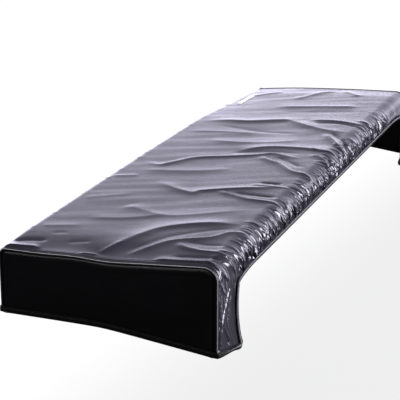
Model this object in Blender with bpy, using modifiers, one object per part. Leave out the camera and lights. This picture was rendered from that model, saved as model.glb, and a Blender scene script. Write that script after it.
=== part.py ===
# Padded keyboard cover. One nylon panel makes the top and both long skirts, two black panels
# close the ends, corded seams join them, and a tape binds the hem.
# Metres, +Z up. +X runs towards the near end and +Y towards the rear edge. The origin lies
# under the middle of the top, where the cover rests on what it covers.
# Places on the cloth are given as "along", from the near end, and "across", from the rear edge.

import math

import bmesh
import bpy
from mathutils import Vector

COVER_NAME = "padded_keyboard_cover"

# Main panel, outer face. The top falls from the rear edge and is level from mid width on
PANEL_LENGTH = 1.355
PANEL_WIDTH = 0.412
PANEL_THICKNESS = 0.004
REAR_TOP = 0.0135
FRONT_TOP = -0.0035
SLOPE_ACROSS = 0.215
SLOPE_SOFTNESS = 0.12
REAR_RADIUS = 0.028
FRONT_RADIUS = 0.014

# Heights of the cloth's lower edges, above the binding
REAR_CORNER_HEM = -0.1385
FRONT_CORNER_HEM = -0.1135
REAR_MIDDLE_HEM = -0.0360
REAR_MIDDLE_HEM_RISE = 0.0055
FRONT_MIDDLE_HEM = -0.0535
HEM_DIP_AT_TAB = 0.008
HEM_DIP_REACH = 0.020

# Corner tabs, where the skirt keeps its full depth
NEAR_TAB_WIDTH = 0.088
FAR_TAB_WIDTH = 0.056
TAB_WAIST = 0.012
TAB_WAIST_CURVE = 0.6
TAB_LOW_CORNER_DROP = 0.0175
TAB_FLARE = 0.006

# Soft shape of the top
CROWN = 0.005
CROWN_REACH = 0.120
END_RISE = 0.003
END_RISE_REACH = 0.090
END_STRAIGHT = 0.014
FRONT_SWELL_UP = 0.002
FRONT_SWELL_OUT = 0.003
FAR_CORNER_FROM = 0.90
FAR_CORNER_REACH = 0.42
FAR_CORNER_ACROSS = 0.200
FAR_CORNER_DROP = 0.012
FAR_CORNER_CURVE = 1.5
FAR_CORNER_DRAW_IN = 0.008
FAR_REAR_DROP = 0.003

# Elastic in the raised hems
HEM_DRAW_IN = 0.003
HEM_DRAW_IN_REACH = 0.120
GATHER_DEPTH = 0.0042
GATHER_ON_ROUND = 0.45
GATHER_UNEVEN = 0.25
GATHER_UNEVEN_STEP = 1.9
GATHERS_END = 1.150
GATHERS_FADE = 0.060

# Seams, binding and label
SEAM_GAP = 0.0004
PIPING_RADIUS = 0.0022
PIPING_SINK = 0.0004
END_PANEL_INSET = 0.0030
END_PANEL_BULGE = 0.006
END_PANEL_BULGE_CURVE = 1.2
END_PANEL_UNEVEN = 0.35
END_PANEL_WAVES = 7.0
END_PANEL_WAVE_START = 1.3
TAPE_WIDTH = 0.010
TAPE_THICKNESS = 0.005
TAPE_GAP = 0.0005
TAPE_END_COLUMNS = 3
LABEL_START = 1.140
LABEL_COLUMNS = 6
LABEL_BAND = (0.30, 0.68)
LABEL_THICKNESS = 0.0008
LABEL_GAP = 0.0005

# Grid of the main panel: columns run along, rows run across from the front hem to the rear hem
TAB_SHARES = (0.0, 0.14, 0.36, 0.60, 0.82, 1.0)
TAB_COLUMNS = len(TAB_SHARES) - 1
MIDDLE_COLUMNS = 60
CORNER_COLUMN_SHARE = 0.4
TAB_ROWS = 5
SKIRT_ROWS = 2
FRONT_ROUND_ROWS = 3
REAR_ROUND_ROWS = 5
TOP_ROWS = 13
FOLD_SAMPLES = 14

# Main folds of the top, each a soft ridge through three places, with a trough at its side
FOLDS = [
    {"start": (0.01, 0.214), "bend": (0.11, 0.21), "end": (0.2, 0.16), "height": 0.004, "trough": 0.002},
    {"start": (0.01, 0.172), "bend": (0.11, 0.12), "end": (0.18, -0.01), "height": 0.0055, "trough": 0.0035},
    {"start": (0.02, 0.095), "bend": (0.06, 0.06), "end": (0.06, -0.02), "height": 0.003, "trough": 0.0015},
    {"start": (0.2, 0.26), "bend": (0.23, 0.15), "end": (0.32, 0.02), "height": 0.0035, "trough": 0.0015},
    {"start": (0.41, 0.16), "bend": (0.37, 0.1), "end": (0.36, -0.02), "height": 0.006, "trough": 0.004},
    {"start": (0.42, 0.34), "bend": (0.4, 0.18), "end": (0.44, 0.05), "height": 0.0055, "trough": 0.0},
    {"start": (0.31, 0.37), "bend": (0.34, 0.31), "end": (0.38, 0.25), "height": 0.003, "trough": 0.0},
    {"start": (0.55, 0.35), "bend": (0.65, 0.24), "end": (0.68, 0.08), "height": 0.006, "trough": 0.004},
    {"start": (0.67, 0.15), "bend": (0.61, 0.09), "end": (0.54, -0.02), "height": 0.005, "trough": 0.0035},
    {"start": (0.75, 0.26), "bend": (0.75, 0.14), "end": (0.74, 0.0), "height": 0.004, "trough": 0.0},
    {"start": (0.88, 0.075), "bend": (0.81, 0.03), "end": (0.75, -0.02), "height": 0.005, "trough": 0.0025},
    {"start": (0.96, 0.3), "bend": (0.95, 0.17), "end": (0.91, -0.02), "height": 0.006, "trough": -0.0045},
    {"start": (1.02, 0.2), "bend": (1.02, 0.12), "end": (1.01, 0.01), "height": 0.004, "trough": -0.002},
    {"start": (1.14, 0.35), "bend": (1.13, 0.2), "end": (1.14, 0.06), "height": 0.004, "trough": 0.002},
    {"start": (1.18, 0.345), "bend": (1.23, 0.305), "end": (1.29, 0.28), "height": 0.004, "trough": 0.002},
    {"start": (1.19, 0.24), "bend": (1.25, 0.205), "end": (1.31, 0.175), "height": 0.0045, "trough": 0.002},
    {"start": (1.32, 0.16), "bend": (1.27, 0.11), "end": (1.24, 0.03), "height": 0.0045, "trough": 0.002},
]
FOLD_HALF_WIDTH = 0.015
TROUGH_OFFSET = 0.026
FOLD_END_FADE = 0.030
FOLD_TIPS = 5

COLOURS = {
    "main_panel": {"colour": (0.115, 0.108, 0.140), "roughness": 0.34},
    "end_panel": {"colour": (0.006, 0.006, 0.007), "roughness": 0.62},
    "piping": {"colour": (0.008, 0.008, 0.010), "roughness": 0.42},
    "binding": {"colour": (0.010, 0.010, 0.012), "roughness": 0.70},
    "label": {"colour": (0.850, 0.850, 0.860), "roughness": 0.60},
}

COLUMNS = 2 * TAB_COLUMNS + MIDDLE_COLUMNS
SIDE_ROWS = TAB_ROWS + SKIRT_ROWS
FRONT_HEM_ROW = TAB_ROWS
TOP_START_ROW = SIDE_ROWS + FRONT_ROUND_ROWS
TOP_END_ROW = TOP_START_ROW + TOP_ROWS
REAR_SIDE_ROW = TOP_END_ROW + REAR_ROUND_ROWS
REAR_HEM_ROW = REAR_SIDE_ROW + SKIRT_ROWS
ROWS = REAR_HEM_ROW + TAB_ROWS
HALF_LENGTH = PANEL_LENGTH / 2
HALF_WIDTH = PANEL_WIDTH / 2
INSIDE = Vector((0, 0, -0.1))
# Sharpest corners at which a seam and the tape still keep their full width
SEAM_MITRE = 0.5
TAPE_MITRE = 0.7


def smooth_step(value):
    t = min(max(value, 0.0), 1.0)
    return t * t * (3 - 2 * t)


def mix(first, second, share):
    return first + (second - first) * share


# Grid columns

def end_distance(along):
    return min(along, PANEL_LENGTH - along)


def tab_width(along):
    return NEAR_TAB_WIDTH if along < HALF_LENGTH else FAR_TAB_WIDTH


def column_station(column):
    """How far along the cover a column lies, before a tab's free edge bends it."""
    if column <= TAB_COLUMNS:
        return NEAR_TAB_WIDTH * TAB_SHARES[column]
    if column >= COLUMNS - TAB_COLUMNS:
        return PANEL_LENGTH - FAR_TAB_WIDTH * TAB_SHARES[COLUMNS - column]
    # The two columns beside each tab are closer, to round the corner of the hem
    pitch = (PANEL_LENGTH - NEAR_TAB_WIDTH - FAR_TAB_WIDTH) / (MIDDLE_COLUMNS - 2)
    step = column - TAB_COLUMNS
    if step == 1:
        return NEAR_TAB_WIDTH + CORNER_COLUMN_SHARE * pitch
    if step == MIDDLE_COLUMNS - 1:
        return PANEL_LENGTH - FAR_TAB_WIDTH - CORNER_COLUMN_SHARE * pitch
    return NEAR_TAB_WIDTH + (step - 1) * pitch


# Heights of the top's two long edges and of the hems

def rear_share(across):
    """The rear edge's share in the height of the top: 1 at that edge, 0 from mid width on."""
    share = 1 - across / SLOPE_ACROSS
    return (share + math.hypot(share, SLOPE_SOFTNESS)) / 2


def front_swell(along):
    return math.sin(math.pi * along / PANEL_LENGTH)


def far_share(along):
    return smooth_step((along - FAR_CORNER_FROM) / FAR_CORNER_REACH)


def level(along, across):
    """Height of the top before its padding and folds."""
    rear = REAR_TOP - FAR_REAR_DROP * far_share(along)
    front = FRONT_TOP + FRONT_SWELL_UP * front_swell(along)
    past_middle = (across - FAR_CORNER_ACROSS) / (PANEL_WIDTH - FAR_CORNER_ACROSS)
    drop = FAR_CORNER_DROP * far_share(along) * max(past_middle, 0.0) ** FAR_CORNER_CURVE
    return mix(front, rear, rear_share(across)) - drop


def front_edge_y(along):
    return -HALF_WIDTH - FRONT_SWELL_OUT * front_swell(along) + FAR_CORNER_DRAW_IN * far_share(along)


def middle_hem(along, side):
    """The raised hem, which dips where it turns down into a tab."""
    height = FRONT_MIDDLE_HEM
    if side > 0:
        height = REAR_MIDDLE_HEM + REAR_MIDDLE_HEM_RISE * along / PANEL_LENGTH
    past_tab = max(end_distance(along) - tab_width(along), 0.0)
    return height - HEM_DIP_AT_TAB * math.exp(-past_tab / HEM_DIP_REACH)


def tab_hem(along, side):
    share = min(end_distance(along) / tab_width(along), 1.0)
    corner = REAR_CORNER_HEM if side > 0 else FRONT_CORNER_HEM
    return corner - TAB_LOW_CORNER_DROP * share


# Folds

def fold_path(fold):
    """A fold's ridge as a smooth curve through its start, bend and end."""
    start = Vector(fold["start"])
    end = Vector(fold["end"])
    control = 2 * Vector(fold["bend"]) - (start + end) / 2
    points = []
    for sample in range(FOLD_SAMPLES + 1):
        t = sample / FOLD_SAMPLES
        points.append((1 - t) ** 2 * start + 2 * t * (1 - t) * control + t * t * end)
    return points


FOLD_PATHS = [fold_path(fold) for fold in FOLDS]


def fold_height(along, across):
    """Height of all folds together at one place of the cloth."""
    place = Vector((along, across))
    total = 0.0
    for fold, path in zip(FOLDS, FOLD_PATHS):
        best = None
        for step in range(FOLD_SAMPLES):
            run = path[step + 1] - path[step]
            share = min(max((place - path[step]).dot(run) / run.length_squared, 0.0), 1.0)
            off = place - path[step] - share * run
            if best is None or off.length < best[0]:
                side = off.x * run.y - off.y * run.x
                best = (off.length, math.copysign(off.length, side), (step + share) / FOLD_SAMPLES)
        distance, signed, t = best
        taper = smooth_step(t * FOLD_TIPS) * smooth_step((1 - t) * FOLD_TIPS)
        total += fold["height"] * taper * math.exp(-(distance / FOLD_HALF_WIDTH) ** 2)
        beside = abs(signed + math.copysign(TROUGH_OFFSET, fold["trough"]))
        total -= abs(fold["trough"]) * taper * math.exp(-(beside / FOLD_HALF_WIDTH) ** 2)
    return total


def top_rise(along, across):
    """How far the padded top stands above its plain level."""
    share = min(max(across / PANEL_WIDTH, 0.0), 1.0)
    rise = CROWN * math.sin(math.pi * share) * smooth_step(along / CROWN_REACH)
    rise += END_RISE * smooth_step(end_distance(along) / END_RISE_REACH)
    fade = smooth_step((end_distance(along) - END_STRAIGHT) / FOLD_END_FADE)
    return rise + fade * fold_height(along, across)


# Main panel

def gather(column):
    """How far the elastic throws a column out, as a share of the gathers' depth."""
    along = column_station(column)
    if column <= TAB_COLUMNS or column >= COLUMNS - TAB_COLUMNS:
        return 0.0
    wave = 1.0 if column % 2 == 0 else -1.0
    uneven = 1 - GATHER_UNEVEN + GATHER_UNEVEN * math.sin(GATHER_UNEVEN_STEP * column)
    return wave * uneven * smooth_step((GATHERS_END - along) / GATHERS_FADE)


def free_edge_shift(column, low_share):
    """The tab narrows below the hem and widens again towards its low corner."""
    inner = TAB_WAIST * max(math.sin(math.pi * low_share), 0.0) ** TAB_WAIST_CURVE
    if column <= TAB_COLUMNS:
        return -inner * column / TAB_COLUMNS
    return inner * (COLUMNS - column) / TAB_COLUMNS


def side_point(column, step, side):
    """A point of a skirt or tab, counted down from the round edge."""
    along = column_station(column)
    wall = HALF_WIDTH if side > 0 else -front_edge_y(along)
    radius = REAR_RADIUS if side > 0 else FRONT_RADIUS
    top = level(along, 0.0 if side > 0 else PANEL_WIDTH) - radius
    middle = middle_hem(along, side)
    pull = smooth_step((end_distance(along) - tab_width(along)) / HEM_DRAW_IN_REACH)
    if step <= SKIRT_ROWS:
        share = step / SKIRT_ROWS
        out = GATHER_DEPTH * gather(column) * mix(GATHER_ON_ROUND, 1.0, share) - HEM_DRAW_IN * pull * share
        return Vector((HALF_LENGTH - along, side * (wall + out), mix(top, middle, share)))
    low_share = (step - SKIRT_ROWS) / TAB_ROWS
    width_share = min(end_distance(along) / tab_width(along), 1.0)
    flare = TAB_FLARE * smooth_step(width_share) * low_share ** 2
    z = mix(middle, tab_hem(along, side), low_share)
    return Vector((HALF_LENGTH - along - free_edge_shift(column, low_share), side * (wall + flare), z))


def round_point(column, share, side):
    """A point of a rounded long edge, from its skirt to the top, as a share of the quarter turn."""
    along = column_station(column)
    held = held_along(along)
    radius = REAR_RADIUS if side > 0 else FRONT_RADIUS
    wall = HALF_WIDTH if side > 0 else -front_edge_y(along)
    edge_across = 0.0 if side > 0 else PANEL_WIDTH
    angle = math.pi / 2 * share
    across = edge_across + side * (radius - radius * (math.pi / 2 - angle))
    normal = Vector((0, side * math.cos(angle), math.sin(angle)))
    gathers = GATHER_ON_ROUND * GATHER_DEPTH * gather(column) * (1 - share) ** 2
    reach = radius + math.sin(angle) ** 2 * top_rise(held, across) + gathers
    centre = Vector((HALF_LENGTH - along, side * (wall - radius), level(along, edge_across) - radius))
    # The height changes from that of the edge to that of the top where the round meets it
    inner_across = edge_across + side * radius
    centre.z += (level(along, inner_across) - level(along, edge_across)) * math.sin(angle) ** 2
    return centre + reach * normal


def held_along(along):
    """Each end is kept straight for a short way, so that its edge lies flat on the seam."""
    return min(max(along, END_STRAIGHT), PANEL_LENGTH - END_STRAIGHT)


def panel_point(column, row):
    """A point of the main panel's outer face."""
    if row <= SIDE_ROWS:
        return side_point(column, SIDE_ROWS - row, -1)
    if row >= REAR_SIDE_ROW:
        return side_point(column, row - REAR_SIDE_ROW, 1)
    if row < TOP_START_ROW:
        return round_point(column, (row - SIDE_ROWS) / FRONT_ROUND_ROWS, -1)
    if row > TOP_END_ROW:
        return round_point(column, (REAR_SIDE_ROW - row) / REAR_ROUND_ROWS, 1)
    along = column_station(column)
    share = (row - TOP_START_ROW) / TOP_ROWS
    y = mix(front_edge_y(along) + FRONT_RADIUS, HALF_WIDTH - REAR_RADIUS, share)
    across = HALF_WIDTH - y
    return Vector((HALF_LENGTH - along, y, level(along, across) + top_rise(held_along(along), across)))


def in_panel(column, row):
    """Whether a grid face belongs to the cloth: beside the tabs the skirt ends at the raised hem."""
    in_tab = column < TAB_COLUMNS or column >= COLUMNS - TAB_COLUMNS
    return in_tab or FRONT_HEM_ROW <= row < REAR_HEM_ROW


def grid_bmesh(columns, rows):
    """A flat grid, with each vertex's column and row kept beside it."""
    grid = bmesh.new()
    bmesh.ops.create_grid(grid, x_segments=columns, y_segments=rows, size=0.5)
    cells = {}
    for vertex in grid.verts:
        cells[vertex] = (round((vertex.co.x + 0.5) * columns), round((vertex.co.y + 0.5) * rows))
    return grid, cells


def face_outwards(cloth):
    """Turns an open surface so that its faces look away from the inside of the cover."""
    cloth.normal_update()
    facing = sum(face.normal.dot(face.calc_center_median() - INSIDE) for face in cloth.faces)
    if facing < 0:
        bmesh.ops.reverse_faces(cloth, faces=cloth.faces[:])


def add_sheet(name, cloth, thickness, colour, collection):
    """Makes an object of an open surface, as thick as its cloth, inwards from its outer face."""
    mesh = bpy.data.meshes.new(name)
    cloth.to_mesh(mesh)
    cloth.free()
    mesh.shade_smooth()
    piece = bpy.data.objects.new(name, mesh)
    collection.objects.link(piece)
    mesh.materials.append(colour)
    solidify = piece.modifiers.new("Cloth thickness", "SOLIDIFY")
    solidify.thickness = thickness
    solidify.offset = -1
    solidify.use_even_offset = True
    return piece


def make_main_panel(collection, colour):
    cloth, cells = grid_bmesh(COLUMNS, ROWS)
    outside = []
    for face in cloth.faces:
        column = min(cells[vertex][0] for vertex in face.verts)
        row = min(cells[vertex][1] for vertex in face.verts)
        if not in_panel(column, row):
            outside.append(face)
    bmesh.ops.delete(cloth, geom=outside, context="FACES")
    for vertex in cloth.verts:
        vertex.co = panel_point(*cells[vertex])
    face_outwards(cloth)
    add_sheet("main_panel", cloth, PANEL_THICKNESS, colour, collection)


# End seams: the panel's outline in the plane of each end

def end_outline(end):
    """The main panel's edge at an end, from the front hem to the rear hem, with outward normals."""
    column = 0 if end > 0 else COLUMNS
    points = [panel_point(column, row) for row in range(ROWS + 1)]
    outline = []
    for row, point in enumerate(points):
        before = points[max(row - 1, 0)]
        after = points[min(row + 1, ROWS)]
        first = (point - before).normalized() if row else (after - point).normalized()
        second = (after - point).normalized() if row < ROWS else first
        first_normal = Vector((0, -first.z, first.y))
        second_normal = Vector((0, -second.z, second.y))
        normal = (first_normal + second_normal).normalized()
        outline.append((point, normal / max(normal.dot(first_normal), SEAM_MITRE)))
    return outline


def make_piping(name, end, collection, colour):
    """A cord that lies in the notch between the main panel and an end panel."""
    curve = bpy.data.curves.new(name, "CURVE")
    curve.dimensions = "3D"
    curve.bevel_depth = PIPING_RADIUS
    curve.bevel_resolution = 2
    curve.use_fill_caps = True
    outline = end_outline(end)
    spline = curve.splines.new("POLY")
    spline.points.add(len(outline) - 1)
    beside = end * (PIPING_RADIUS + SEAM_GAP)
    for point, (place, normal) in zip(spline.points, outline):
        centre = place - PIPING_SINK * normal
        point.co = (centre.x + beside, centre.y, centre.z, 1)
    piece = bpy.data.objects.new(name, curve)
    curve.materials.append(colour)
    collection.objects.link(piece)


def end_face_x(end):
    return end * (HALF_LENGTH + SEAM_GAP + PANEL_THICKNESS)


def end_panel_point(end, outline, column, row):
    """A point of an end panel's outer face, whose grid meets the outline at its sides and top."""
    def inset(index):
        place, normal = outline[index]
        return place - END_PANEL_INSET * normal

    front_low = inset(0)
    rear_low = inset(ROWS)
    crest = inset(SIDE_ROWS + column)
    share_across = (crest.y - front_low.y) / (rear_low.y - front_low.y)
    low_share = rear_share(HALF_WIDTH - crest.y) if 0 < share_across < 1 else share_across
    low = mix(front_low.z, rear_low.z, low_share)
    front_up = (inset(row).z - front_low.z) / (inset(SIDE_ROWS).z - front_low.z)
    rear_up = (inset(ROWS - row).z - rear_low.z) / (inset(ROWS - SIDE_ROWS).z - rear_low.z)
    share_up = mix(front_up, rear_up, share_across)
    bulge = max(math.sin(math.pi * share_across) * math.sin(math.pi * share_up), 0.0)
    uneven = 1 + END_PANEL_UNEVEN * math.sin(END_PANEL_WAVES * share_across + END_PANEL_WAVE_START)
    x = end_face_x(end) + end * END_PANEL_BULGE * uneven * bulge ** END_PANEL_BULGE_CURVE
    return Vector((x, crest.y, mix(low, crest.z, share_up)))


def make_end_panel(name, end, collection, colour):
    outline = end_outline(end)
    cloth, cells = grid_bmesh(ROWS - 2 * SIDE_ROWS, SIDE_ROWS)
    for vertex in cloth.verts:
        vertex.co = end_panel_point(end, outline, *cells[vertex])
    face_outwards(cloth)
    add_sheet(name, cloth, PANEL_THICKNESS, colour, collection)


# Hem binding

def skirt_hem_path(side):
    """The main panel's lower edge on a long side, from the near end to the far end."""
    low_row = ROWS if side > 0 else 0
    hem_row = REAR_HEM_ROW if side > 0 else FRONT_HEM_ROW
    up = -1 if side > 0 else 1
    far_tab = COLUMNS - TAB_COLUMNS
    cells = [(column, low_row) for column in range(1, TAB_COLUMNS)]
    cells += [(TAB_COLUMNS, row) for row in range(low_row, hem_row, up)]
    cells += [(column, hem_row) for column in range(TAB_COLUMNS, far_tab)]
    cells += [(far_tab, row) for row in range(hem_row, low_row, -up)]
    cells += [(column, low_row) for column in range(far_tab, COLUMNS)]
    path = []
    for column, row in cells:
        place = panel_point(column, row)
        along = panel_point(column + 1, row) - panel_point(column - 1, row)
        rise = panel_point(column, row + up) - place
        outward = rise.cross(along).normalized() * side
        path.append((place, outward if outward.y * side > 0 else -outward))
    return path


def end_hem_path(end):
    """An end panel's lower edge from the front to the rear, with the two corners of the cover."""
    outline = end_outline(end)
    columns = ROWS - 2 * SIDE_ROWS
    corners = []
    for place, side in ((outline[0][0], -1), (outline[ROWS][0], 1)):
        corner = Vector((end_face_x(end), place.y, place.z))
        corners.append((corner, Vector((end, side, 0))))
    path = []
    for column in range(TAPE_END_COLUMNS, columns + 1 - TAPE_END_COLUMNS):
        path.append((end_panel_point(end, outline, column, 0), Vector((end, 0, 0))))
    return [corners[0]] + path + [corners[1]]


def hem_path():
    """The whole lower edge as one loop, seen from above turning to the left."""
    near = end_hem_path(1)
    rear = skirt_hem_path(1)
    far = end_hem_path(-1)
    front = skirt_hem_path(-1)
    return near + rear + far[::-1] + front[::-1]


def tape_rings():
    """Upper and lower edge of the tape's outer face, past the cloth's edge and just proud of it."""
    path = hem_path()
    count = len(path)
    upper = []
    lower = []
    for index, (place, outward) in enumerate(path):
        before = path[index - 1][0]
        after = path[(index + 1) % count][0]
        first = (place - before).normalized()
        second = (after - place).normalized()
        normal = outward.normalized()
        first_down = first.cross(normal).normalized()
        second_down = second.cross(normal).normalized()
        down = (first_down + second_down).normalized()
        down = down / max(down.dot(first_down), TAPE_MITRE)
        face = place + TAPE_GAP * outward
        upper.append(face + TAPE_GAP * down)
        lower.append(face + (TAPE_GAP + TAPE_WIDTH) * down)
    return upper, lower


def make_binding(collection, colour):
    upper, lower = tape_rings()
    tape = bmesh.new()
    ring = [tape.verts.new(place) for place in upper]
    edges = [tape.edges.new((ring[index - 1], ring[index])) for index in range(len(ring))]
    low_place = {vertex: place for vertex, place in zip(ring, lower)}
    extruded = bmesh.ops.extrude_edge_only(tape, edges=edges)
    for item in extruded["geom"]:
        if isinstance(item, bmesh.types.BMVert):
            above = next(vertex for edge in item.link_edges for vertex in edge.verts if vertex in low_place)
            item.co = low_place[above]
    face_outwards(tape)
    add_sheet("hem_binding", tape, TAPE_THICKNESS, colour, collection)


# Blank label near the far front corner

def make_label(collection, colour):
    cloth, cells = grid_bmesh(LABEL_COLUMNS, 1)
    first_column = next(column for column in range(COLUMNS) if column_station(column) >= LABEL_START)
    for vertex, (column, side) in cells.items():
        front = panel_point(first_column + column, TOP_START_ROW)
        behind = panel_point(first_column + column, TOP_START_ROW + 1)
        vertex.co = front.lerp(behind, LABEL_BAND[side])
        vertex.co.z += LABEL_GAP + LABEL_THICKNESS
    face_outwards(cloth)
    add_sheet("label", cloth, LABEL_THICKNESS, colour, collection)


# Scene

def make_colour(name):
    values = COLOURS[name]
    colour = bpy.data.materials.new(name)
    colour.use_nodes = True
    shader = colour.node_tree.nodes["Principled BSDF"]
    shader.inputs["Base Color"].default_value = (*values["colour"], 1)
    shader.inputs["Roughness"].default_value = values["roughness"]
    shader.inputs["Metallic"].default_value = 0.0
    return colour


def main():
    for old in list(bpy.data.objects):
        bpy.data.objects.remove(old, do_unlink=True)
    collection = bpy.data.collections.new(COVER_NAME)
    bpy.context.scene.collection.children.link(collection)
    colours = {name: make_colour(name) for name in COLOURS}
    make_main_panel(collection, colours["main_panel"])
    for place, end in (("near", 1), ("far", -1)):
        make_end_panel(f"end_panel_{place}", end, collection, colours["end_panel"])
        make_piping(f"piping_{place}", end, collection, colours["piping"])
    make_binding(collection, colours["binding"])
    make_label(collection, colours["label"])


main()
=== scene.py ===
import math

import bmesh
import bpy
import numpy as np
from mathutils import Matrix, Vector, noise


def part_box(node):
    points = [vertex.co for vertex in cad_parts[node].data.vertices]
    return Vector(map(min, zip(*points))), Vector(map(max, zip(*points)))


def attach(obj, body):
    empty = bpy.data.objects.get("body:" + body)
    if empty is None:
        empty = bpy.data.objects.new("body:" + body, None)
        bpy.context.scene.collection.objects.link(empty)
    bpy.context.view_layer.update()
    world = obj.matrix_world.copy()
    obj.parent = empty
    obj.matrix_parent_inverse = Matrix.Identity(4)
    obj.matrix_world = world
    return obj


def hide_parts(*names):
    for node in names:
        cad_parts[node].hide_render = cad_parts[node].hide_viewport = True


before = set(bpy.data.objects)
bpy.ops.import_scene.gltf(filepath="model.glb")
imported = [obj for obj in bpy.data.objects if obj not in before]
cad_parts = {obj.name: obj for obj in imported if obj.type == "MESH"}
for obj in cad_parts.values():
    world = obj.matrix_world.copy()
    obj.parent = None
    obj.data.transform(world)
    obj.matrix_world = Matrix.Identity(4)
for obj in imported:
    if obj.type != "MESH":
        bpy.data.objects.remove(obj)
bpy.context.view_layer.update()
print("frame loaded")

# The cover's own frame: +X towards the near end, +Y towards the rear edge, +Z up, in metres.
# "along" runs from the near end to the far end, "across" from the rear edge to the front edge,
# and across goes below zero down the rear skirt.
panelLow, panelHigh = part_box("main_panel")
length = panelHigh.x - panelLow.x
halfLength = length / 2
width = 0.412
halfWidth = width / 2

cover = {
    "rearTop": 0.0135, "frontTop": -0.0035,
    "slopeAcross": 0.215, "slopeSoftness": 0.12,
    "rearRadius": 0.028, "frontRadius": 0.014,
    "rearCornerHem": -0.1413, "frontCornerHem": -0.1150,
    "rearMiddleHem": -0.036, "rearMiddleHemRise": 0.0055, "frontMiddleHem": -0.0535,
    "hemDip": 0.008, "hemDipReach": 0.020,
    "nearTab": 0.088, "farTab": 0.056,
    "tabWaist": 0.012, "waistCurve": 0.6, "tabDrop": 0.0175, "tabCurve": 0.8, "tabFlare": 0.006,
    "crown": 0.005, "crownReach": 0.120, "endRise": 0.003, "endRiseReach": 0.090,
    "endStraight": 0.014, "swellUp": 0.002, "swellOut": 0.003,
    "farFrom": 0.90, "farReach": 0.42, "farAcross": 0.200, "farCurve": 1.5,
    "farDrop": 0.012, "farDrawIn": 0.008, "farRearDrop": 0.003,
    "hemDrawIn": 0.003, "hemDrawInReach": 0.120,
}

# fine counts are for the outer face, coarse ones for the lining
cloth = {
    "thickness": 0.0036, "liningFollows": 0.3,
    "along": (0.0, 0.030, 0.088, 1.299, 1.345, 1.355),
    "fineColumns": (24, 20, 400, 15, 7), "coarseColumns": (3, 5, 100, 4, 2),
    "fineRows": {"tab": 38, "frontSkirt": 6, "frontRound": 5, "top": 90, "rearRound": 18, "rearSkirt": 12},
    "coarseRows": {"tab": 8, "frontSkirt": 2, "frontRound": 2, "top": 24, "rearRound": 5, "rearSkirt": 4},
    "fineTopRows": 8,
}

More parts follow.
